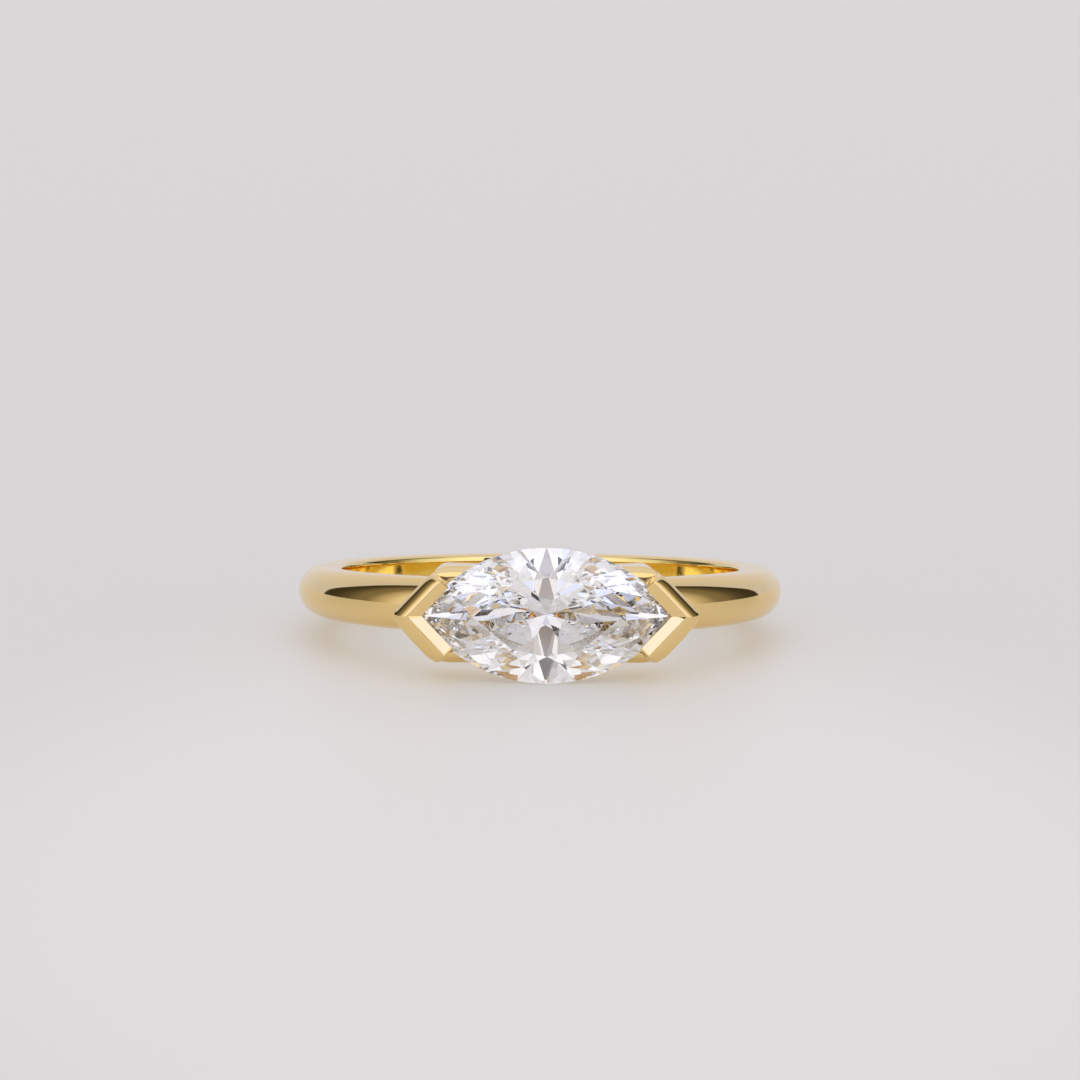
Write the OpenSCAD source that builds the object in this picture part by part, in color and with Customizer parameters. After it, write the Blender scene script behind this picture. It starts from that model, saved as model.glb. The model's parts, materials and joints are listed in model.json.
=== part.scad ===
// Marquise engagement ring, its stone set along the band between two V shaped half bezels.
// Millimetres. The ring lies on its side as it rests by itself: on the belly of the stone in front
// and on the lower edge of the band behind. The stone faces -Y, and the axis of the finger hole
// leans back from +Z by the resting tilt.
// In the ring's own frame u runs along the stone, v along the finger and h out from the finger axis.

/* [Band] */
// Inner diameter, which sets the finger size
finger_d = 16.5; // [15:0.1:19]
// Radial thickness of the band
band_t = 1.76; // [1.5:0.02:2]
// Width of the band along the finger
band_w = 2.06; // [1.9:0.02:2.2]
// Radius of the eased edges inside the band
comfort_r = 0.22; // [0.15:0.01:0.3]

/* [Stone] */
// Length of the stone from tip to tip
stone_l = 10.2; // [9.9:0.05:10.4]
// Width of the stone across the belly
stone_w = 5.45; // [5.2:0.05:5.6]
// Height of the crown above the girdle
crown_h = 0.72; // [0.6:0.02:0.8]
// Depth of the pavilion below the girdle
pavilion_h = 2.34; // [2.1:0.02:2.4]
// Thickness of the girdle where the corners of the facets meet it
girdle_t = 0.2; // [0.18:0.01:0.24]
// Size of the table as a share of the stone's outline
table_share = 0.58; // [0.52:0.01:0.64]
// Height of the girdle's middle over the wall of the finger hole
stone_lift = 2.7; // [2.66:0.02:2.9]

/* [Head] */
// Length of the head over the rounded corners of the two Vs
head_l = 12.3; // [12.2:0.02:12.4]
// Width of the head over its straight side rails
head_w = 3.74; // [3.66:0.02:3.82]
// Height of the bezel rims over the girdle's middle
rim_lift = 0.6; // [0.56:0.01:0.66]
// Drop from the girdle's middle to the top of the side rails
rail_drop = 1; // [0.95:0.01:1.1]
// Angle of each bezel arm from the stone's long axis
arm_angle = 46.5; // [45.5:0.5:48]
// Length of each bezel arm, measured from where the outer edges of the V would cross
arm_l = 2.58; // [2.5:0.02:2.64]
// Width of the rounded rim on top of an arm
rim_w = 0.52; // [0.48:0.01:0.56]
// Radius that rounds the rim down to the outer wall
edge_r = 0.4; // [0.3:0.02:0.4]
// Width of the bright bevel that falls from the rim to the stone
bevel_w = 0.34; // [0.32:0.01:0.36]
// Fall of the bright bevel from the rim to the stone
bevel_fall = 0.35; // [0.3:0.01:0.36]
// Lean of the outer walls of the head, which narrows towards the finger
wall_lean = 5; // [3:0.5:6]
// Radius of the outer corner of each V
tip_r = 0.2; // [0.1:0.02:0.26]
// Radius of the corners between the Vs and the side rails
shoulder_r = 1.6; // [1.2:0.1:1.8]
// Distance that the head sits below the middle of the band
head_drop = 0.2; // [0:0.02:0.24]

/* [Seat] */
// Clearance between the stone and the metal
seat_gap = 0.03; // [0.02:0.01:0.05]
// Length of the open back under the stone
window_l = 5.6; // [5:0.1:6]
// Width of the open back under the stone
window_w = 2.1; // [1.8:0.1:2.3]

/* [Hidden] */
$fn = 128;

gold = "#d9b96a";
diamond = "#eef1f5";

inner_r = finger_d / 2;
outer_r = inner_r + band_t;
band_half = band_w / 2;
girdle_r = inner_r + stone_lift;
rim_r = girdle_r + rim_lift;
rail_r = girdle_r - rail_drop;
// Where the outer edges of a V would cross if its corner were sharp
corner_u = head_l / 2 + tip_r * (1 / sin(arm_angle) - 1);

// The outline of the stone is two arcs of this radius, with centres this far from the long axis
half_l = stone_l / 2;
half_w = stone_w / 2;
arc_r = (half_l * half_l + half_w * half_w) / stone_w;
arc_shift = arc_r - half_w;
girdle_top = girdle_t / 2;
girdle_low = -girdle_t / 2;

// Places of the facet corners along a quarter of the girdle, from the tip to the belly. The mains
// and kites touch the girdle at the first, third and last, and the halves meet at the others.
corner_turns = [0, 40, 62, 76, 90];
// Shares of the crown that the stars take, and of the pavilion that the mains keep at the culet
star_share = 0.4;
culet_share = 0.28;
// Steps that round the girdle between two facet corners
girdle_steps = 4;

// The resting tilt brings the belly of the stone and the back of the band down to one level
belly_drop = half_w + head_drop;
back_reach = outer_r - band_half;
rest_span = back_reach + girdle_r;
rest_tilt = atan2(belly_drop, rest_span) - asin(band_half / norm([rest_span, belly_drop]));
rest_lift = back_reach * sin(rest_tilt) + band_half;

// Reach of the resting ring along Y, to the front of the table and to the back of the band
table_r = girdle_r + girdle_top + crown_h;
table_low = table_share * half_w + head_drop;
front_reach = table_r * cos(rest_tilt) + table_low * sin(rest_tilt);
rear_reach = back_reach * cos(rest_tilt) + band_half;
rest_shift = (front_reach - rear_reach) / 2;

// Long enough to pass through the head from any side
reach = 8;

// Turns u, v and h of the ring into its resting place
module at_rest() {
    translate([0, rest_shift, rest_lift])
        rotate([-rest_tilt, 0, 0])
            rotate([90, 0, 0])
                children();
}

// Turns a drawing about the finger axis: its X is the distance from the axis and its Y is v
module around_finger(low = 0) {
    rotate([-90, 0, 0])
        translate([0, 0, low])
            rotate_extrude()
                children();
}

// Half round section with short straight flanks and eased inner edges
module band_section() {
    ease = comfort_r - 0.02;
    flat_half = band_half - comfort_r;
    translate([outer_r - band_half, 0])
        circle(r = band_half);
    translate([inner_r + ease, -band_half])
        square([band_t - band_half - ease, band_w]);
    translate([inner_r - 1, -flat_half])
        square([band_t, 2 * flat_half]);
    for (side = [-1, 1])
        translate([inner_r + ease, side * flat_half])
            circle(r = comfort_r);
}

module shank() {
    around_finger()
        band_section();
}

// Copies a shape to both ends of the head and to both arms of each V
module each_arm() {
    for (end = [0, 1], side = [0, 1])
        mirror([end, 0, 0])
            mirror([0, side, 0])
                children();
}

// Draws a section along an arm: its X runs inwards from the outer edge of the rim and its Y is h.
// The arm starts at the V's corner, where it meets the other arm in a mitre on the long axis.
module along_arm(length) {
    intersection() {
        translate([corner_u, 0, 0])
            rotate([90, 0, 270 - arm_angle])
                linear_extrude(length)
                    children();
        translate([-reach, 0, 0])
            cube([2 * reach, reach, 2 * reach]);
    }
}

// How far the leaning wall has moved inwards at the height h
function lean(h) = (rim_r - h) * tan(wall_lean);

// Leaning outer wall, rim rounded down to it, bright bevel that falls to the stone, inner wall
module bezel_section() {
    rim_fall = 0.02;
    low = rail_r - 0.6;
    inner = rim_w + bevel_w + 0.4;
    edge_h = rim_r - rim_fall - edge_r;
    edge_x = lean(edge_h) + edge_r;
    translate([edge_x, edge_h])
        circle(r = edge_r);
    polygon([
        [lean(low), low],
        [lean(edge_h), edge_h],
        [edge_x, edge_h + edge_r],
        [rim_w, rim_r],
        [rim_w + bevel_w, rim_r - bevel_fall],
        [inner, rim_r - bevel_fall - 0.3],
        [inner, low]
    ]);
}

// Outline of an arm from above, along its outer edge, with the outer corner of its end rounded
module arm_outline() {
    corner_r = 0.2;
    deep = 1.4;
    square([arm_l - corner_r, deep]);
    translate([0, corner_r])
        square([arm_l, deep - corner_r]);
    translate([arm_l - corner_r, corner_r])
        circle(r = corner_r);
}

// Hollow curve between the end of an arm and the rail
module arm_root() {
    root_r = 0.3;
    from_edge = lean(rail_r);
    deep = 1.1;
    translate([corner_u, 0, 0])
        rotate([90, 0, 180 - arm_angle])
            translate([arm_l, rail_r - 0.1, -deep])
                linear_extrude(deep - from_edge)
                    difference() {
                        translate([-0.1, 0])
                            square([root_r + 0.1, root_r + 0.1]);
                        translate([root_r, root_r + 0.1])
                            circle(r = root_r);
                    }
}

// One V shaped half bezel at each tip of the stone
module v_bezels() {
    each_arm() {
        intersection() {
            along_arm(arm_l)
                bezel_section();
            translate([corner_u, 0, 0])
                rotate([0, 0, 180 - arm_angle])
                    linear_extrude(2 * reach)
                        arm_outline();
        }
        arm_root();
    }
}

// The head from above: rounded corners at the tips of the stone and where the Vs turn into the rails
module head_outline() {
    half = head_w / 2;
    tip_reach = tip_r / tan(arm_angle);
    turn_reach = shoulder_r * tan(arm_angle / 2);
    turn_u = corner_u - half / tan(arm_angle);
    near_tip = [corner_u - tip_reach * cos(arm_angle), tip_reach * sin(arm_angle)];
    flank = [turn_u + turn_reach * cos(arm_angle), half - turn_reach * sin(arm_angle)];
    shoulder = [turn_u - turn_reach, half];
    for (end = [0, 1])
        mirror([end, 0]) {
            polygon([
                [-1, -half],
                [shoulder.x, -shoulder.y],
                [flank.x, -flank.y],
                [near_tip.x, -near_tip.y],
                near_tip,
                flank,
                shoulder,
                [-1, half]
            ]);
            translate([corner_u - tip_r / sin(arm_angle), 0])
                circle(r = tip_r);
            for (side = [-1, 1])
                translate([shoulder.x, side * (half - shoulder_r)])
                    circle(r = shoulder_r);
        }
}

// Side rails and the floor of the head, which the band runs into
module gallery() {
    low = inner_r - 3;
    each_arm()
        along_arm(reach)
            polygon([
                [lean(low), low],
                [lean(rail_r), rail_r],
                [reach, rail_r],
                [reach, low]
            ]);
}

// The whole head, with the outline from above
module head() {
    intersection() {
        union() {
            gallery();
            v_bezels();
        }
        linear_extrude(2 * reach)
            head_outline();
    }
}

// Space inside both arcs of the stone's outline, grown by one amount at its foot and one at its top
module between_arcs(low, high, low_grow, high_grow) {
    intersection_for (side = [-1, 1])
        translate([0, side * arc_shift, low])
            cylinder(h = high - low, r1 = arc_r + low_grow, r2 = arc_r + high_grow);
}

// Seat for the stone: its pavilion, its girdle and the first part of its crown
module seat() {
    deep = pavilion_h + 0.12;
    crown_up = 0.4;
    crown_in = crown_up * (1 - table_share) * half_w / crown_h;
    translate([0, 0, girdle_r]) {
        between_arcs(girdle_low - deep, girdle_low, -half_w, seat_gap);
        between_arcs(girdle_low - 0.01, girdle_top + 0.01, seat_gap, seat_gap);
        between_arcs(girdle_top, girdle_top + crown_up, seat_gap, seat_gap - crown_in);
    }
}

// Open back under the stone, pointed like the stone
module window() {
    radius = (window_l * window_l + window_w * window_w) / (4 * window_w);
    intersection_for (side = [-1, 1])
        translate([0, side * (radius - window_w / 2), inner_r - 2])
            cylinder(h = 4, r = radius);
}

// Finger hole, flared where the head is wider than the band so that no edge is sharp
module finger_hole() {
    ease = 0.35;
    under = 0.5;
    around_finger(-reach)
        square([inner_r, 2 * reach]);
    around_finger()
        for (side = [0, 1])
            translate([inner_r - under, -head_drop])
                mirror([0, side])
                    translate([0, head_w / 2 - ease])
                        difference() {
                            square([under + ease, reach]);
                            translate([under + ease + 0.02, 0])
                                circle(r = ease);
                        }
}

// All the gold, which is cast and soldered into one piece
module mounting() {
    color(gold)
        at_rest()
            difference() {
                union() {
                    shank();
                    translate([0, -head_drop, 0])
                        head();
                }
                translate([0, -head_drop, 0]) {
                    seat();
                    window();
                }
                finger_hole();
            }
}

// Point of the girdle's outline at the angle t, and the direction square to the outline there
function rim_point(t) =
    let (u = half_l * cos(t), v = sqrt(arc_r * arc_r - u * u) - arc_shift)
    abs(sin(t)) < 0.001 ? [u, 0] : [u, sign(sin(t)) * v];
function rim_normal(t) =
    let (p = rim_point(t))
    abs(sin(t)) < 0.001 ? [cos(t), 0] : [p.x, p.y + sign(sin(t)) * arc_shift] / arc_r;

// Where the lines through p and q, square to m and n, cross
function cross_point(p, m, q, n) =
    let (d = m.x * n.y - m.y * n.x, a = m * p, b = n * q)
    [(a * n.y - b * m.y) / d, (b * m.x - a * n.x) / d];

// Height over the point p of the plane through a, b and c
function plane_height(p, a, b, c) =
    let (n = cross(b - a, c - a))
    a.z - (n.x * (p.x - a.x) + n.y * (p.y - a.y)) / n.z;

function lift_to(p, z) = [p.x, p.y, z];

// Angle of the facet corner i of 16, numbered anticlockwise from the +u tip
function corner_turn(i) =
    let (quarter = floor(i / 4), step = i % 4)
    90 * quarter + (quarter % 2 == 0 ? corner_turns[step] : 90 - corner_turns[4 - step]);

// Corner where the main facets k and k + 1 meet the halves between them. It lies on the line that
// the two mains share, a share of the way out from the height top to the girdle. The mains have
// the outline's directions, and at the height top they touch the outline scaled by inner.
function meet_point(k, inner, top, girdle, share) =
    let (
        p = rim_point(corner_turn(2 * k)),
        q = rim_point(corner_turn(2 * k + 2)),
        m = rim_normal(corner_turn(2 * k)),
        n = rim_normal(corner_turn(2 * k + 2)),
        near = cross_point(inner * p, m, inner * q, n),
        far = cross_point(p, m, q, n)
    )
    lift_to(near + share * (far - near), top + share * (girdle - top));

// Ring of girdle points that lie on the planes of the half facets above or below them
function girdle_ring(z, meets) = [
    for (i = [0:15], s = [0:girdle_steps - 1])
        let (
            from = corner_turn(i),
            turn = corner_turn(i + 1) - from,
            a = lift_to(rim_point(from), z),
            b = lift_to(rim_point(from + turn), z),
            p = rim_point(from + turn * s / girdle_steps)
        )
        lift_to(p, plane_height(p, a, b, meets[floor(i / 2)]))
];

// Marquise brilliant: above the girdle a table, 8 stars, 8 kites and 16 halves, below it 16 halves
// and 8 mains that meet in the culet. The facets are numbered anticlockwise from the +u tip.
module marquise_stone() {
    count = 16 * girdle_steps;
    crown_top = girdle_top + crown_h;
    culet = girdle_low - pavilion_h;
    crown_meets = [for (k = [0:7]) meet_point(k, table_share, crown_top, girdle_top, star_share)];
    low_meets = [for (k = [0:7]) meet_point(k, 0, culet, girdle_low, culet_share)];
    table = [for (k = [0:7]) lift_to(table_share * rim_point(corner_turn(2 * k)), crown_top)];
    points = concat(
        girdle_ring(girdle_top, crown_meets),
        girdle_ring(girdle_low, low_meets),
        crown_meets,
        low_meets,
        table,
        [[0, 0, culet]]
    );
    upper = 2 * count;
    lower = upper + 8;
    flat = lower + 8;
    tip = flat + 8;
    faces = concat(
        [[for (k = [7:-1:0]) flat + k]],
        [for (k = [0:7]) [flat + k, flat + (k + 1) % 8, upper + k]],
        [for (k = [0:7]) [flat + k, upper + k, 2 * k * girdle_steps, upper + (k + 7) % 8]],
        [for (i = [0:15]) concat(
            [upper + floor(i / 2)],
            [for (s = [girdle_steps:-1:0]) (i * girdle_steps + s) % count]
        )],
        [for (j = [0:count - 1]) [j, (j + 1) % count, count + (j + 1) % count, count + j]],
        [for (i = [0:15]) concat(
            [lower + floor(i / 2)],
            [for (s = [0:girdle_steps]) count + (i * girdle_steps + s) % count]
        )],
        [for (k = [0:7]) [tip, lower + (k + 7) % 8, count + 2 * k * girdle_steps, lower + k]]
    );
    color(diamond)
        at_rest()
            translate([0, -head_drop, girdle_r])
                polyhedron(points = points, faces = faces);
}

mounting();
marquise_stone();
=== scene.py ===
import json
import math

import bmesh
import bpy
from mathutils import Matrix, Vector


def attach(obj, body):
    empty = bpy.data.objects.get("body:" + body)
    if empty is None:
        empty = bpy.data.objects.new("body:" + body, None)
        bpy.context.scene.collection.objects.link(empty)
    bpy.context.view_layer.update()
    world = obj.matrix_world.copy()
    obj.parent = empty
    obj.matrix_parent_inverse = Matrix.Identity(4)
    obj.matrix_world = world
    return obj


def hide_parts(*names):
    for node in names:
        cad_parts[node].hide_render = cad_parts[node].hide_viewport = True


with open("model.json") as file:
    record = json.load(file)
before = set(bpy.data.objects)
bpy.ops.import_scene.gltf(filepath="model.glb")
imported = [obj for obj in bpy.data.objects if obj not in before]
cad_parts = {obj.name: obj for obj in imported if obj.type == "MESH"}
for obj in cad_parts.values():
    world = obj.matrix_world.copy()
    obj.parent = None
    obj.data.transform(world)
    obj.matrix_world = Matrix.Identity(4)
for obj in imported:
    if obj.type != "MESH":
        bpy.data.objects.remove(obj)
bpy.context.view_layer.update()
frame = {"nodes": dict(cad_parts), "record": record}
print("frame loaded")

# Shapes are drawn in millimetres in the ring's own frame: x along the stone, y along the finger and
# z out from the finger axis. placeRing turns them to the resting place that the frame gives.
mm = 0.001
sliverSize = 0.0004  # points that are closer than this become one
bore = frame["record"]["mounts"][0]
innerRadius = bore["dims"]["r_mm"]
fingerAxis = Vector(bore["axis"]).normalized()
ringCentre = Vector(bore["pos_m"])
stoneAxis = Vector((1, 0, 0))
outAxis = stoneAxis.cross(fingerAxis)
ringTurn = Matrix((stoneAxis, fingerAxis, outAxis)).transposed().to_4x4()
placeRing = Matrix.Translation(ringCentre) @ ringTurn @ Matrix.Scale(mm, 4)


def addPiece(name, shape):
    mesh = bpy.data.meshes.new(name)
    bmesh.ops.recalc_face_normals(shape, faces=shape.faces)
    shape.to_mesh(mesh)
    shape.free()
    piece = bpy.data.objects.new(name, mesh)
    bpy.context.scene.collection.objects.link(piece)
    return piece


def applyModifiers(piece):
    seen = piece.evaluated_get(bpy.context.evaluated_depsgraph_get())
    shaped = bpy.data.meshes.new_from_object(seen)
    piece.modifiers.clear()
    piece.data = shaped


def combine(piece, other, operation):
    change = piece.modifiers.new(operation, "BOOLEAN")
    change.operation = operation
    change.solver = "MANIFOLD"
    change.object = other
    applyModifiers(piece)
    bpy.data.objects.remove(other)


def mergeSlivers(piece):  # merges the needle faces that the cuts leave
    shape = bmesh.new()
    shape.from_mesh(piece.data)
    bmesh.ops.dissolve_degenerate(shape, dist=sliverSize, edges=shape.edges)
    shape.to_mesh(piece.data)
    shape.free()


# Joins rings of points, each with as many points as the next, into a closed skin. Points that meet are
# merged, so a ring without a cap closes where it has no width.
def skin(name, rings, caps=True):
    shape = bmesh.new()
    rows = [[shape.verts.new(point) for point in ring] for ring in rings]
    for near, far in zip(rows, rows[1:]):
        for i in range(len(near)):
            j = (i + 1) % len(near)
            shape.faces.new((near[i], near[j], far[j], far[i]))
    if caps:
        shape.faces.new(rows[0])
        shape.faces.new(rows[-1])
    bmesh.ops.remove_doubles(shape, verts=shape.verts, dist=sliverSize)
    return addPiece(name, shape)


def blendBetween(value, low, high):  # 0 at low, 1 at high, smooth at both ends
    share = min(max((value - low) / (high - low), 0), 1)
    return share * share * (3 - 2 * share)


# The band: a half round section with short straight flanks, swept from one side of the head to the other

band = {
    "thickness": 1.76,
    "halfWidth": 1.03,
    "easeDown": 0.17,  # the eased inner edge takes so much of the wall, and so much of the flank
    "easeAcross": 0.42,
    "flare": 0.06,  # how much each flank grows towards the head
    "flareFrom": 75,  # degrees from the head where the flare starts
    "flareTo": 38,
    "taper": 0.13,  # how much the upper flank loses towards the back
    "taperFrom": 55,
    "startAngle": 24,  # of the ends, which hide inside the head
    "stations": 260,
    "roundSteps": 30,
    "easeSteps": 8,
    "flatSteps": 8,
}


def bandSection():  # outer half circle, flank, eased edge, flat inner wall, and back up the other side
    half, down, across = band["halfWidth"], band["easeDown"], band["easeAcross"]
    roundCentre = innerRadius + band["thickness"] - half
    points = []
    for i in range(band["roundSteps"] + 1):
        turn = math.radians(-90 + 180 * i / band["roundSteps"])
        points.append((roundCentre + half * math.cos(turn), half * math.sin(turn)))
    flat = half - down
    eased = []
    for i in range(band["easeSteps"] + 1):
        turn = math.radians(90 + 90 * i / band["easeSteps"])
        eased.append((innerRadius + across + across * math.cos(turn), flat + down * math.sin(turn)))
    wall = [(innerRadius, flat - 2 * flat * i / band["flatSteps"]) for i in range(1, band["flatSteps"])]
    return points + eased + wall + [(r, -v) for r, v in eased[::-1]]


def bandShape():
    section = bandSection()
    rings = []
    for i in range(band["stations"] + 1):
        angle = band["startAngle"] + (360 - 2 * band["startAngle"]) * i / band["stations"]
        fromHead = min(angle, 360 - angle)
        flare = band["flare"] * (1 - blendBetween(fromHead, band["flareTo"], band["flareFrom"]))
        taper = band["taper"] * blendBetween(fromHead, band["taperFrom"], 180)
        upper = 1 + (flare - taper) / band["halfWidth"]
        lower = 1 + flare / band["halfWidth"]
        turn = math.radians(angle)
        rings.append([(r * math.sin(turn), v * (upper if v > 0 else lower), r * math.cos(turn))
                      for r, v in section])
    return skin("band", rings)


# The head, one skin from tip to tip: two V shaped half bezels on a gallery with straight side rails

head = {
    "length": 12.38,  # over the rounded corners of the Vs
    "width": 3.78,  # over the rails
    "lowerReach": 0.12,  # how much further out the lower half's walls stand
    "reachWidth": 0.8,  # this far from the middle line they stand out fully
    "drop": 0.2,  # below the middle of the band
    "rimHeight": 11.5,
    "railHeight": 9.95,
    "footHeight": 7.4,  # below the finger hole's wall, which cuts it away
    "armAngle": math.radians(46.5),
    "armLength": 2.47,  # from where the outer edges of a V would cross
    "lowerArmLength": 2.74,
    "armDepth": 1.3,
    "wallLean": math.tan(math.radians(5)),
    "tipRadius": 0.32,
    "shoulderRadius": 1.6,
    "rimWidth": 0.55,
    "ridgeSlope": math.radians(24),  # slopes of the rim at its ridge, its brim and its edge
    "brimSlope": math.radians(41),
    "edgeSlope": math.radians(61),
    "brimRadius": 1.25,
    "edgeRadius": 0.33,
    "ridgeRadius": 0.07,
    "bevelWidth": 0.4,
    "bevelSlope": math.radians(24),
    "gripHeight": 11.0,  # the bevel's inner edge drops straight down to here
    "cornerRadius": 0.25,  # outer corner of an arm's end, seen from above
    "endRadius": 0.12,
    "rootRadius": 0.02,  # hollow curve from an arm's end to the rail
    "railRadius": 0.45,
    "railGrowth": 0.4,  # share of the way along the rail on which its edge grows to that radius
    "railDepth": 0.97,
    "ledgeShare": 0.9,  # share of the ledge beside an arm that the rail's edge may take
    "tipSteps": 7,
    "armSteps": 16,
    "endSteps": 10,
    "rootSteps": 6,
    "turnSteps": 6,
    "railSteps": 6,
    "edgeSteps": 8,  # on each arc of the rim
    "railEdgeSteps": 5,
}
halfHead = head["width"] / 2
armSin = math.sin(head["armAngle"])
armCos = math.cos(head["armAngle"])
armTan = armSin / armCos
cornerX = head["length"] / 2 + head["tipRadius"] * (1 / armSin - 1)  # where a V's outer edges would cross
turnReach = head["shoulderRadius"] * math.tan(head["armAngle"] / 2)
flankEnd = halfHead / armSin - turnReach  # along an arm, where its outer edge starts to turn into the rail
railEnd = cornerX - halfHead / armTan - turnReach  # where the rail's straight run ends


def lean(height):
    return (head["rimHeight"] - height) * head["wallLean"]


# The rim is four arcs, each a radius and two slopes: a rounded edge on the wall, a brim that slopes down to
# it, the rim itself, and a small one over the ridge to the bevel. The third one's radius fills the width.
def rimArcs():
    ridge, brim, edge = head["ridgeSlope"], head["brimSlope"], head["edgeSlope"]
    wall = math.pi / 2 - math.atan(head["wallLean"])
    arcs = [(head["edgeRadius"], wall, edge), (head["brimRadius"], edge, brim)]
    taken = head["ridgeRadius"] * (math.sin(ridge) + math.sin(head["bevelSlope"]))
    for radius, start, stop in arcs:
        drop = radius * (math.cos(stop) - math.cos(start))
        taken += radius * (math.sin(start) - math.sin(stop)) + drop * head["wallLean"]
    left = math.sin(brim) - math.sin(ridge) + head["wallLean"] * (math.cos(ridge) - math.cos(brim))
    arcs.append(((head["rimWidth"] - taken) / left, brim, ridge))
    return arcs + [(head["ridgeRadius"], ridge, -head["bevelSlope"])]


# Points of the rim from the wall to the ridge, as the distance in and the height
def rimPoints():
    arcs = rimArcs()
    drop = sum(radius * (math.cos(stop) - math.cos(start)) for radius, start, stop in arcs)
    height = head["rimHeight"] - drop
    points = [(lean(height), height)]
    for radius, start, stop in arcs:
        inward, height = points[-1]
        for i in range(1, head["edgeSteps"] + 1):
            slope = start + (stop - start) * i / head["edgeSteps"]
            points.append((inward + radius * (math.sin(start) - math.sin(slope)),
                           height + radius * (math.cos(slope) - math.cos(start))))
    return points


rimStart, edgeHeight = rimPoints()[0]  # where the wall rounds into the rim


# Columns of a section from the foot of the outer wall over the rim to the foot of the inner wall: the part,
# how far in, how high, and the turn of the rail's rounded edge
def headColumns():
    rail = head["railHeight"]
    columns = [("wall", lean(head["footHeight"]), head["footHeight"], 0)]
    for i in range(head["railEdgeSteps"] + 1):
        columns.append(("railEdge", lean(rail), rail, math.radians(90 * i / head["railEdgeSteps"])))
    for height in (rail, rail + head["rootRadius"], edgeHeight):
        columns.append(("armWall", lean(height), height, 0))
    columns += [("rim", inward, height, 0) for inward, height in rimPoints()[1:]]
    bevelEnd = head["rimWidth"] + head["bevelWidth"]
    columns += [
        ("bevel", bevelEnd, columns[-1][2] - head["bevelWidth"] * math.tan(head["bevelSlope"]), 0),
        ("inner", bevelEnd, head["gripHeight"], 0),
        ("inner", head["armDepth"], head["gripHeight"], 0),
        ("inner", head["armDepth"], rail, 0),
    ]
    return columns


def rimShare(inward):  # 1 where the rim starts on the wall, 0 at its ridge
    return (head["rimWidth"] - inward) / (head["rimWidth"] - rimStart)


# Radius of the V's outer corner at a column: it gets sharp on top of the rim
def cornerRadius(part, inward):
    if part in ("rim", "bevel", "inner"):
        return max(head["tipRadius"] - (inward - rimStart), 0)
    return head["tipRadius"]


def closeSide(side):  # ends one side of a section on the ring's middle line
    x, y, height = side[-1]
    return side + [(x, 0, height)]


def tipSide(angle):
    side = []
    for part, inward, height, turn in headColumns():
        radius = cornerRadius(part, inward)
        x = cornerX - (inward + radius) / armSin + radius * math.cos(angle)
        side.append((x, radius * math.sin(angle), height))
    return closeSide(side)


# Angle that the outer edge has turned through at a place along an arm, and how far in it has come
def shoulderTurn(along):
    over = min(max(along - flankEnd, 0) / head["shoulderRadius"], 1)
    return math.asin(over), head["shoulderRadius"] * (1 - math.sqrt(1 - over * over))


def wallFade(angle):  # the walls stop leaning where they turn into the rails
    return 1 - blendBetween(angle, 0, head["armAngle"])


# One side of a section across an arm. The ledge is how far the arm's wall stands in from the outline,
# the fall how far its top has come down, and nothing above the rail stands over the limit.
def armSide(alongOf, ledge=0, fall=0, limit=math.inf):
    side = []
    rail = head["railHeight"]
    for part, inward, height, turn in headColumns():
        along = alongOf(part, inward)
        angle, turned = shoulderTurn(along)
        if part in ("wall", "railEdge", "armWall"):
            inward = turned + inward * wallFade(angle) + ledge * (part == "armWall")
        elif part == "rim":
            inward += rimShare(inward) * (turned + ledge)
        if part == "railEdge":
            rounding = min(head["railRadius"], head["ledgeShare"] * ledge)
            inward += rounding * (1 - math.cos(turn))
            height -= rounding * (1 - math.sin(turn))
        if height > rail + head["rootRadius"]:
            height -= fall
        if height > rail:
            height = min(height, limit)
        x = cornerX - along * armCos - inward * armSin
        side.append((x, along * armSin - inward * armCos, height))
    return closeSide(side)


def straightSide(reach, share):
    last = reach - head["cornerRadius"]

    def alongOf(part, inward):
        start = (inward + cornerRadius(part, inward)) / armTan
        return start + (last - start) * share
    return armSide(alongOf)


def endSide(reach, turn):
    radius, small = head["cornerRadius"], head["endRadius"]
    back = radius * (1 - math.sin(turn))
    over = max(1 - back / small, 0)
    return armSide(lambda part, inward: reach - back, radius * (1 - math.cos(turn)),
                   small * (1 - math.sqrt(1 - over * over)))


def rootSide(reach, turn):
    radius = head["rootRadius"]
    along = reach + radius * (1 - math.cos(turn))
    return armSide(lambda part, inward: along, head["cornerRadius"], head["endRadius"],
                   head["railHeight"] + radius * (1 - math.sin(turn)))


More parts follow.
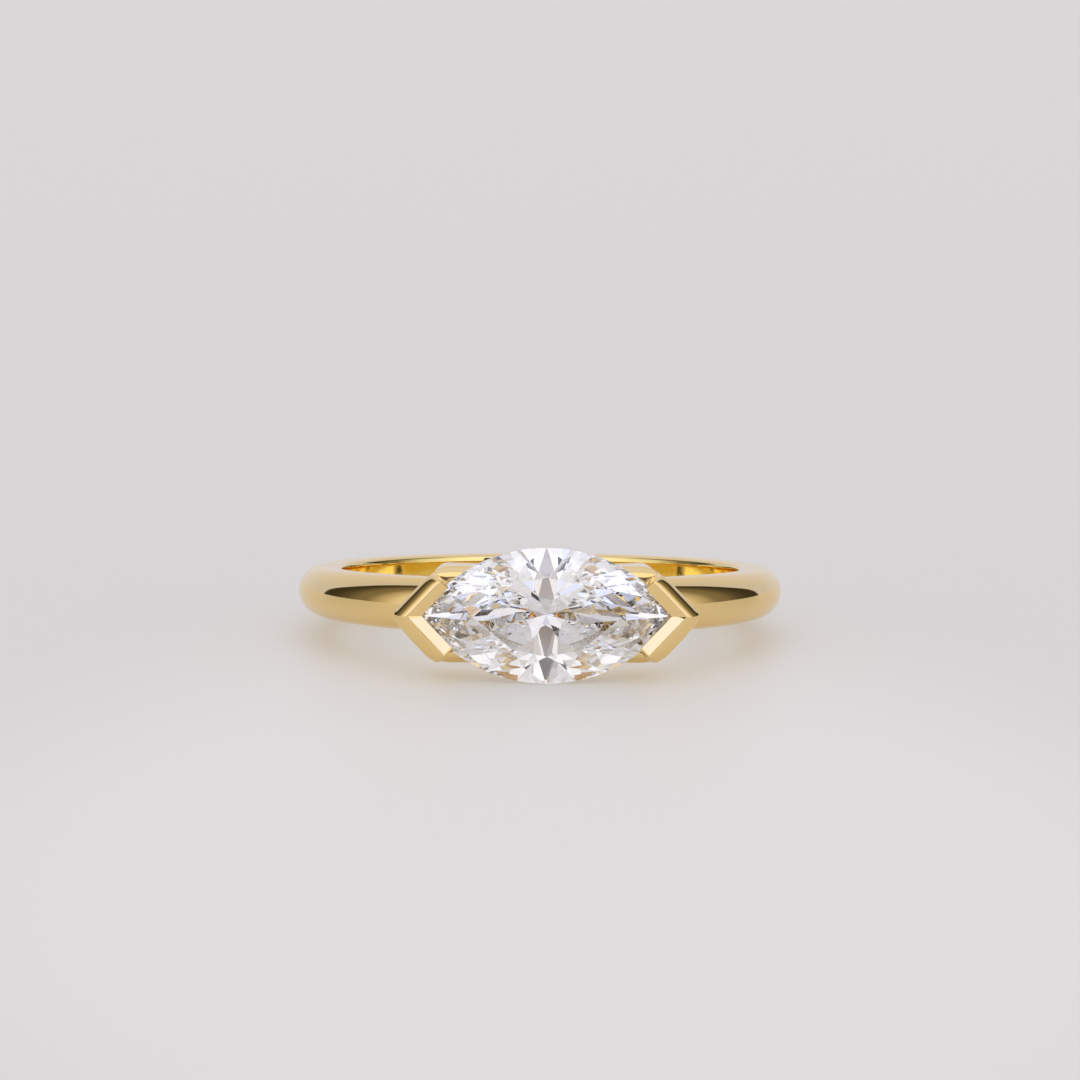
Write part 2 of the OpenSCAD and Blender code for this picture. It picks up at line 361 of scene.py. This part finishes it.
# One side of a section across a rail: at an angle of the turn from the arm, or at a place on the straight
# run. The share is how far it is on the way from the arm to the rail's middle.
def railSide(reach, angle, x, share):
    radius, rail = head["shoulderRadius"], head["railHeight"]
    tight = head["ledgeShare"] * head["cornerRadius"]
    rounding = tight + (head["railRadius"] - tight) * blendBetween(share, 0, head["railGrowth"])
    normal = Vector((math.sin(head["armAngle"] - angle), math.cos(head["armAngle"] - angle)))
    outer = Vector((x, halfHead - radius)) + normal * radius
    edge = outer - normal * (lean(rail) * wallFade(angle) + rounding)
    rootAlong = reach + head["rootRadius"]
    startX = cornerX - rootAlong * armCos - head["armDepth"] * armSin
    startY = rootAlong * armSin - head["armDepth"] * armCos
    inner = Vector((startX * (1 - share), startY + (halfHead - head["railDepth"] - startY) * share))
    columns = headColumns()
    inside = len([column for column in columns if column[0] not in ("wall", "railEdge")])
    side = []
    for i, (part, inward, height, turn) in enumerate(columns):
        if part in ("wall", "railEdge"):
            eased = rounding * (part == "railEdge")
            point = outer - normal * (inward * wallFade(angle) + eased * (1 - math.cos(turn)))
            side.append((point.x, point.y, height - eased * (1 - math.sin(turn))))
        else:
            point = edge.lerp(inner, (i + 1 - len(columns) + inside) / inside)
            side.append((point.x, point.y, rail))
    return closeSide(side)


# The other half of a section, whose walls stand a little further out than those of the first
def lowerSide(side):
    lower = []
    for (part, inward, height, turn), (x, y, z) in zip(headColumns(), side):
        share = 0 if part in ("bevel", "inner") else 1
        if part == "rim":
            share = rimShare(inward)
        lower.append((x, -y - head["lowerReach"] * share * blendBetween(y, 0, head["reachWidth"]), z))
    return lower[::-1]


def halfSides(reach):  # from the tip of the V to the middle of the rail, for arms of the given length
    tipTurn = math.pi / 2 - head["armAngle"]
    sides = [tipSide(tipTurn * i / head["tipSteps"]) for i in range(head["tipSteps"])]
    sides += [straightSide(reach, i / head["armSteps"]) for i in range(head["armSteps"] + 1)]
    sides += [endSide(reach, math.pi / 2 * i / head["endSteps"]) for i in range(1, head["endSteps"] + 1)]
    sides += [rootSide(reach, math.pi / 2 * i / head["rootSteps"]) for i in range(head["rootSteps"] + 1)]
    rootAngle = shoulderTurn(reach + head["rootRadius"])[0]
    steps = head["turnSteps"] + head["railSteps"]
    for i in range(1, head["turnSteps"] + 1):
        angle = rootAngle + (head["armAngle"] - rootAngle) * i / head["turnSteps"]
        sides.append(railSide(reach, angle, railEnd, i / steps))
    for i in range(1, head["railSteps"] + 1):
        x = railEnd * (1 - i / head["railSteps"])
        sides.append(railSide(reach, head["armAngle"], x, (i + head["turnSteps"]) / steps))
    return sides


def headShape():
    halves = zip(halfSides(head["armLength"]), halfSides(head["lowerArmLength"]))
    rings = [upper + lowerSide(lower) for upper, lower in halves]
    rings += [[(-x, y, z) for x, y, z in ring] for ring in rings[-2::-1]]
    rings = [[(x, y - head["drop"], z) for x, y, z in ring] for ring in rings]
    return skin("head", rings, caps=False)


# What is cut out of the gold: the seat, the open back and the finger hole

seat = {
    "stoneLength": 10.2,
    "stoneWidth": 5.45,
    "girdleHeight": 10.95,
    "girdleHalf": 0.1,
    "pavilion": 2.46,  # how far the stone's cone goes down below its girdle
    "pavilionEnd": 0.002,  # share of its width that is left at the lowest level
    "gap": 0.03,  # air between the stone and the gold
    "crownUp": 0.4,  # the seat leans in over the girdle, so far up and so far in
    "crownIn": 0.636,
    "windowLength": 5.6,  # the open back
    "windowWidth": 2.1,
    "windowReach": 2,  # above and below the finger hole's wall
    "arcSteps": 40,
    "coneSteps": 14,
}


# Outline of two arcs, drawn through both tips, grown outwards by an amount
def lensOutline(length, width, grow):
    radius = (length * length + width * width) / (4 * width)
    shift = radius - width / 2
    grown = radius + grow
    tip = math.sqrt(max(grown * grown - shift * shift, 0))
    reach = math.asin(min(tip / grown, 1))
    points = []
    for side in (1, -1):
        for i in range(seat["arcSteps"]):
            turn = side * reach * (1 - 2 * i / seat["arcSteps"])
            points.append((grown * math.sin(turn), side * (grown * math.cos(turn) - shift)))
    return points


def seatCutter():
    half = seat["stoneWidth"] / 2
    low = seat["girdleHeight"] - seat["girdleHalf"]
    high = seat["girdleHeight"] + seat["girdleHalf"]
    end = seat["pavilionEnd"]
    levels = []
    for i in range(seat["coneSteps"] + 1):
        share = end + (1 - end) * (i / seat["coneSteps"]) ** 2
        levels.append((low - seat["pavilion"] * (1 - share), -half + (half + seat["gap"]) * share))
    levels += [(high, seat["gap"]), (high + seat["crownUp"], seat["gap"] - seat["crownIn"])]
    rings = []
    for height, grow in levels:
        outline = lensOutline(seat["stoneLength"], seat["stoneWidth"], grow)
        rings.append([(x, y - head["drop"], height) for x, y in outline])
    return skin("seatCutter", rings)


def windowCutter():
    outline = lensOutline(seat["windowLength"], seat["windowWidth"], 0)
    heights = (innerRadius - seat["windowReach"], innerRadius + seat["windowReach"])
    rings = [[(x, y - head["drop"], height) for x, y in outline] for height in heights]
    return skin("windowCutter", rings)


fingerHole = {
    "proud": 0.005,  # how much further in the head's wall stands than the band's
    "ease": 0.35,  # radius of its eased mouths
    "past": 2,  # the cutter goes on past each mouth so far, and gets so much wider
    "wider": 0.01,
    "easeSteps": 10,
    "sides": 240,
}


def fingerCutter():
    ease = fingerHole["ease"]
    start = halfHead - ease
    mouth = []
    for i in range(fingerHole["easeSteps"] + 1):
        turn = math.radians(90 * i / fingerHole["easeSteps"])
        mouth.append((start + ease * math.sin(turn), ease * (1 - math.cos(turn))))
    mouth.append((start + ease + fingerHole["past"], ease + fingerHole["wider"]))
    rings = []
    for v, grow in [(-v, grow) for v, grow in mouth[::-1]] + mouth:
        radius = innerRadius - fingerHole["proud"] + grow
        ring = []
        for i in range(fingerHole["sides"]):
            turn = math.radians(360 * i / fingerHole["sides"])
            ring.append((radius * math.cos(turn), v - head["drop"], radius * math.sin(turn)))
        rings.append(ring)
    return skin("fingerCutter", rings)


shading = {
    "sharpAngle": 32,  # degrees, edges that fold more than this stay crisp
    "flatWeight": 80,  # how much the larger faces hold their neighbours flat
}


def mounting():
    piece = headShape()
    piece.name = "polished_mounting"
    for cutter in (seatCutter(), windowCutter(), fingerCutter()):
        combine(piece, cutter, "DIFFERENCE")
    combine(piece, bandShape(), "UNION")
    mergeSlivers(piece)
    piece.data.transform(placeRing)
    piece.data.shade_smooth()
    piece.data.set_sharp_from_angle(angle=math.radians(shading["sharpAngle"]))
    soft = piece.modifiers.new("flatFaces", "WEIGHTED_NORMAL")
    soft.keep_sharp = True
    soft.weight = shading["flatWeight"]
    applyModifiers(piece)
    return piece


# Shader expressions: a wire is a node's output, and sums and products of wires add Math nodes
class Wire:
    def __init__(self, shader, socket):
        self.shader = shader
        self.socket = socket

    def __add__(self, other):
        return self.shader.math("ADD", self, other)

    def __sub__(self, other):
        return self.shader.math("SUBTRACT", self, other)

    def __rsub__(self, other):
        return self.shader.math("SUBTRACT", other, self)

    def __mul__(self, other):
        return self.shader.math("MULTIPLY", self, other)

    def __truediv__(self, other):
        return self.shader.math("DIVIDE", self, other)

    def __abs__(self):
        return self.shader.math("ABSOLUTE", self)

    __radd__ = __add__
    __rmul__ = __mul__

    def tinted(self, other):
        return self.shader.vector("MULTIPLY", self, other)[0]

    def towards(self, other, share):  # from this colour to the other one
        return self.shader.mix(self, other, share)

    def ramp(self, low, high):  # a smooth step from 0 at low to 1 at high
        return self.shader.add("ShaderNodeMapRange", {"interpolation_type": "SMOOTHSTEP"},
                               {0: self, 1: low, 2: high})[0]


class Shader:
    def __init__(self, owner):
        owner.use_nodes = True
        self.tree = owner.node_tree
        self.tree.nodes.clear()

    def math(self, operation, *values):
        return self.add("ShaderNodeMath", {"operation": operation}, dict(enumerate(values)))[0]

    def vector(self, operation, *values):  # gives the vector and the number
        return self.add("ShaderNodeVectorMath", {"operation": operation}, dict(enumerate(values)))

    def mix(self, first, second, share):  # of two colours, which are sockets 6, 7 and 2 of a Mix node
        return self.add("ShaderNodeMix", {"data_type": "RGBA"}, {0: share, 6: first, 7: second})[2]

    def add(self, kind, settings=None, sockets=None):
        made = self.tree.nodes.new(kind)
        for name, value in (settings or {}).items():
            if name == "stops":
                ramp = made.color_ramp
                while len(ramp.elements) < len(value):
                    ramp.elements.new(1)
                for stop, (position, colour) in zip(ramp.elements, value):
                    stop.position = position
                    stop.color = colour
            else:
                setattr(made, name, value)
        for name, value in (sockets or {}).items():
            if isinstance(value, Wire):
                self.tree.links.new(value.socket, made.inputs[name])
            else:
                made.inputs[name].default_value = value
        return [Wire(self, socket) for socket in made.outputs]


def newMaterial(name):
    material = bpy.data.materials.new(name)
    return material, Shader(material)


gold = {
    "colour": (0.955, 0.715, 0.325, 1),
    "deep": (0.94, 0.69, 0.305, 1),  # in clouds of a faintly deeper tone
    "cloud": {"Scale": 420, "Detail": 3},
    "cloudEdge": (0.3, 0.7),
    "inside": (0.96, 0.785, 0.33, 1),  # wall of the finger hole, painted a paler, yellower gold: painted light inside the ring
    "insideDepth": (8.255, 8.28),  # from its radius out to where the other tone is whole
    "polish": 0.04,
    "haze": 0.03,
    "fine": {"Scale": 5200, "Detail": 4},
    "scratch": 0.03,
    "scratchMap": {"Rotation": (0.4, 0.2, 0.7), "Scale": (700, 16000, 9000)},
    "scratchNoise": {"Scale": 1, "Detail": 2},
    "scratchEdge": (0.62, 0.72),
    "ripple": 0.000003,
    "rippleStrength": 0.12,
    "rippleFine": 0.3,
    "rippleScratch": 0.7,
}


def goldMaterial():
    material, shader = newMaterial("polished_yellow_gold")
    place = shader.add("ShaderNodeTexCoord")[3]  # in metres, on the piece itself
    cloud = shader.add("ShaderNodeTexNoise", {}, {"Vector": place, **gold["cloud"]})[0]
    fine = shader.add("ShaderNodeTexNoise", {}, {"Vector": place, **gold["fine"]})[0]
    stretched = shader.add("ShaderNodeMapping", {}, {"Vector": place, **gold["scratchMap"]})[0]
    scratches = shader.add("ShaderNodeTexNoise", {}, {"Vector": stretched, **gold["scratchNoise"]})[0]
    lines = scratches.ramp(*gold["scratchEdge"])
    colour = shader.mix(gold["colour"], gold["deep"], cloud.ramp(*gold["cloudEdge"]))
    offset = shader.vector("SUBTRACT", place, ringCentre)[0]
    along = shader.vector("DOT_PRODUCT", offset, fingerAxis)[1]
    far = shader.vector("DOT_PRODUCT", offset, offset)[1]
    radius = shader.math("SQRT", far - along * along) / mm
    # Painted light: the finger hole's wall takes a paler, yellower gold than the rest, standing in for the
    # light inside the ring
    colour = colour.towards(gold["inside"], 1 - radius.ramp(*gold["insideDepth"]))
    roughness = gold["polish"] + gold["haze"] * fine + gold["scratch"] * lines
    height = fine * gold["rippleFine"] - lines * gold["rippleScratch"]
    bump = shader.add("ShaderNodeBump", {}, {"Height": height, "Strength": gold["rippleStrength"],
                                             "Distance": gold["ripple"]})[0]
    surface = shader.add("ShaderNodeBsdfPrincipled", {},
                         {"Base Color": colour, "Metallic": 1, "Roughness": roughness, "Normal": bump})[0]
    shader.add("ShaderNodeOutputMaterial", {}, {"Surface": surface})
    return material


stone = {
    "colour": (0.985, 0.99, 1, 1),
    "ior": 2.45,
    "girdleFacing": (0.02, 0.08),  # facets that look straight out sideways are frosted, up to this lean
    "frost": 0.18,
    "frostGrain": 0.2,
    "grain": {"Scale": 9000, "Detail": 2},
}


def diamondMaterial():
    material, shader = newMaterial("white_diamond")
    normal = shader.add("ShaderNodeNewGeometry")[3]  # of the flat facet
    place = shader.add("ShaderNodeTexCoord")[3]
    facing = abs(shader.vector("DOT_PRODUCT", normal, outAxis)[1])
    girdle = 1 - facing.ramp(*stone["girdleFacing"])
    grain = shader.add("ShaderNodeTexNoise", {}, {"Vector": place, **stone["grain"]})[0]
    roughness = girdle * (stone["frost"] + stone["frostGrain"] * grain)
    glass = shader.add("ShaderNodeBsdfPrincipled", {},
                       {"Base Color": stone["colour"], "Roughness": roughness, "IOR": stone["ior"],
                        "Transmission Weight": 1})[0]
    shader.add("ShaderNodeOutputMaterial", {}, {"Surface": glass})
    return material


# The table glows a little, like a lit sheet of acrylic: painted light, warmer than its own colour, that
# keeps the ring's shadow on it light and warm
table = {
    "size": 3.2,
    "colour": (0.46, 0.465, 0.47, 1),
    "glow": (0.292, 0.264, 0.216, 1),
    "poolGlow": (0.352, 0.324, 0.278, 1),  # brighter in a painted pool of light in front of the ring
    "poolCentre": (0, -0.05, 0),
    "poolScale": (1 / 0.028, 1 / 0.055, 0),  # one over its half width and half depth
    "poolEdge": (0.55, 1.15),
    "grain": {"Scale": 2500, "Detail": 3},
    "grainRough": 0.05,
    "roughness": 0.45,
    "ior": 1.5,
}


def floorMaterial():
    material, shader = newMaterial("pale_satin_table")
    place = shader.add("ShaderNodeTexCoord")[3]
    grain = shader.add("ShaderNodeTexNoise", {}, {"Vector": place, **table["grain"]})[0]
    roughness = table["roughness"] + table["grainRough"] * grain
    offset = shader.vector("SUBTRACT", place, table["poolCentre"])[0].tinted(table["poolScale"])
    away = shader.vector("LENGTH", offset)[1]
    # Painted light: the glow, brighter in a painted pool in front of the ring, lightens and warms the
    # ring's shadow
    glow = shader.mix(table["poolGlow"], table["glow"], away.ramp(*table["poolEdge"]))
    surface = shader.add("ShaderNodeBsdfPrincipled", {},
                         {"Base Color": table["colour"], "Roughness": roughness, "IOR": table["ior"],
                          "Emission Color": glow, "Emission Strength": 1})[0]
    shader.add("ShaderNodeOutputMaterial", {}, {"Surface": surface})
    return material


def addFloor():
    half = table["size"] / 2
    shape = bmesh.new()
    corners = [shape.verts.new((x * half, y * half, 0)) for x, y in ((-1, -1), (1, -1), (1, 1), (-1, 1))]
    shape.faces.new(corners)
    floor = addPiece("floor", shape)
    floor.data.materials.append(floorMaterial())


# The studio, one shader on the world: a bright sweep behind the ring, a dark flag at each side that gets
# lighter towards the camera, bright panels there with a soft box in each, and a pale ceiling. The stone
# mirrors the rig round the lens and the dark cards beside and under it. Angles are in degrees, the turn
# round from the camera and the rise up from the floor.

studio = {
    "round": [  # light of the walls at each turn
        (0, 1.15), (20, 1.2), (45, 1.15), (58, 0.95), (70, 0.84), (76, 0.74), (79, 0.62), (83, 0.5),
        (87, 0.39), (90, 0.27), (93, 0.21), (99, 0.2), (103, 0.15), (107, 0.105), (111, 0.08),
        (115, 0.06), (120, 0.047), (126.5, 0.045), (128, 0.66), (135, 0.63), (150, 0.68), (180, 0.76),
    ],
    "tints": [  # colour of the walls at some turns
        (70, (1, 1, 1)), (90, (1, 0.91, 0.66)), (126.5, (1, 0.88, 0.6)), (128, (1, 1.08, 1.38)),
        (145, (1, 1.06, 1.25)), (180, (1, 1, 1.04)),
    ],
    "scale": 2,  # the ramp's stops hold half the light
    "flagTop": (55, 60),  # the walls fade into the ceiling here
    "flagLean": 8,  # how far the back edges of the flags lean forwards
    "leanRise": (8, 38),
    "leanTurn": (106, 124),
    "ceiling": (0.79, 0.85, 1.03, 1),
    "panels": [  # light, turn and rise of the soft boxes and of the dark cards, with their soft edges
        ((1.1, 1.25, 1.95, 1), (22, 26, 42, 50), (22, 26, 48, 54)),
        ((0.03, 0.03, 0.035, 1), (20, 21, 32, 33), (2, 3, 23, 25)),
        ((0.52, 0.495, 0.5, 1), (-2, -1, 9, 10), (-3, -2, 4.5, 5.5)),
        ((0.06, 0.055, 0.06, 1), (-2, -1, 4.5, 5.5), (-3, -2, 4, 5)),
    ],
    "rig": (0.5, 0.475, 0.5, 1),
    "rigSize": (7.5, 10.5),
    "lens": (0.02, 0.02, 0.025, 1),  # the dark disc that a camera shows to the ring
    "lensSize": (3.2, 3.6),
    "lensRise": 9.8,
    "air": (1, 0.97, 0.98),  # tint of all of it
}


def wallColour(angle, light):  # of the ring of walls, half as bright as it is
    tints = studio["tints"]
    near = max((tint for tint in tints if tint[0] <= angle), default=tints[0])
    far = min((tint for tint in tints if tint[0] > angle), default=tints[-1])
    share = (angle - near[0]) / (far[0] - near[0]) if far[0] > near[0] else 0
    share = min(max(share, 0), 1)
    return [light / studio["scale"] * (a + (b - a) * share) for a, b in zip(near[1], far[1])] + [1]


def addStudio():
    world = bpy.data.worlds.new("studio")
    bpy.context.scene.world = world
    shader = Shader(world)
    direction = shader.add("ShaderNodeTexCoord")[0]
    x, y, z = shader.add("ShaderNodeSeparateXYZ", {}, {0: direction})
    level = shader.math("SQRT", x * x + y * y)
    degrees = math.degrees(1)
    turn = shader.math("ARCCOSINE", 0 - y / level) * degrees
    rise = shader.math("ARCSINE", z) * degrees
    stops = [(angle / 180, wallColour(angle, light)) for angle, light in studio["round"]]
    forwards = studio["flagLean"] * rise.ramp(*studio["leanRise"]) * turn.ramp(*studio["leanTurn"])
    walls = shader.add("ShaderNodeValToRGB", {"stops": stops}, {0: (turn + forwards) / 180})[0]
    dome = walls.tinted([studio["scale"]] * 3).towards(studio["ceiling"], rise.ramp(*studio["flagTop"]))
    lift = math.radians(studio["lensRise"])
    lens = shader.vector("DOT_PRODUCT", direction, (0, -math.cos(lift), math.sin(lift)))[1]
    lens = shader.math("ARCCOSINE", shader.math("MINIMUM", lens, 1)) * degrees
    dome = dome.towards(studio["rig"], 1 - lens.ramp(*studio["rigSize"]))
    for light, (start, full, fade, end), (low, lowFull, highFade, high) in studio["panels"]:
        inside = turn.ramp(start, full) * (1 - turn.ramp(fade, end))
        inside = inside * rise.ramp(low, lowFull) * (1 - rise.ramp(highFade, high))
        dome = dome.towards(light, inside)
    dome = dome.towards(studio["lens"], 1 - lens.ramp(*studio["lensSize"])).tinted(studio["air"])
    light = shader.add("ShaderNodeBackground", {}, {"Color": dome})[0]
    shader.add("ShaderNodeOutputWorld", {}, {"Surface": light})


# The camera, as it was fitted to the ring's outline in the photograph

view = {
    "distance": 0.29,
    "scale": 24.08,  # pixels to a millimetre at the ring's centre
    "rise": math.radians(4.35),  # above the plane of the ring
    "swing": math.radians(1.39),
    "roll": math.radians(0.26),
    "frame": 1080,
    "ringPixel": 49.9,  # how far the ring's centre lies below the middle of the frame
    "sensor": 36,
    "near": 0.01,
    "far": 20,
}


def addCamera():
    lens = view["scale"] * view["distance"] / mm
    data = bpy.data.cameras.new("camera")
    data.sensor_width = view["sensor"]
    data.lens = view["sensor"] * lens / view["frame"]
    data.clip_start = view["near"]
    data.clip_end = view["far"]
    camera = bpy.data.objects.new("camera", data)
    bpy.context.scene.collection.objects.link(camera)
    rise, swing = view["rise"], view["swing"]
    local = Vector((-math.sin(swing) * math.cos(rise), math.sin(rise), math.cos(swing) * math.cos(rise)))
    toCamera = ringTurn.to_3x3() @ local
    right = fingerAxis.cross(toCamera).normalized()
    up = toCamera.cross(right)
    right, up = (right * math.cos(view["roll"]) + up * math.sin(view["roll"]),
                 up * math.cos(view["roll"]) - right * math.sin(view["roll"]))
    tip = math.atan(view["ringPixel"] / lens)
    back = toCamera * math.cos(tip) - up * math.sin(tip)
    up = back.cross(right)
    turn = Matrix((right, up, back)).transposed().to_4x4()
    camera.matrix_world = Matrix.Translation(ringCentre + toCamera * view["distance"]) @ turn
    bpy.context.scene.camera = camera


bounces = {"all": 32, "glossy": 20, "transmission": 28}  # the stone needs many


def finishScene():
    scene = bpy.context.scene
    scene.view_settings.view_transform = "Standard"
    scene.cycles.max_bounces = bounces["all"]
    scene.cycles.glossy_bounces = bounces["glossy"]
    scene.cycles.transmission_bounces = bounces["transmission"]


addCamera()
addFloor()
addStudio()
print("camera, floor and light ready")

metal = mounting()
metal.data.materials.clear()
metal.data.materials.append(goldMaterial())
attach(metal, "root")
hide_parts("mounting")
print("mounting ready:", len(metal.data.polygons), "faces")

diamond = frame["nodes"]["marquise_stone"]
diamond.data.materials.clear()
diamond.data.materials.append(diamondMaterial())
diamond.data.polygons.foreach_set("use_smooth", [False] * len(diamond.data.polygons))
print("stone ready")

finishScene()
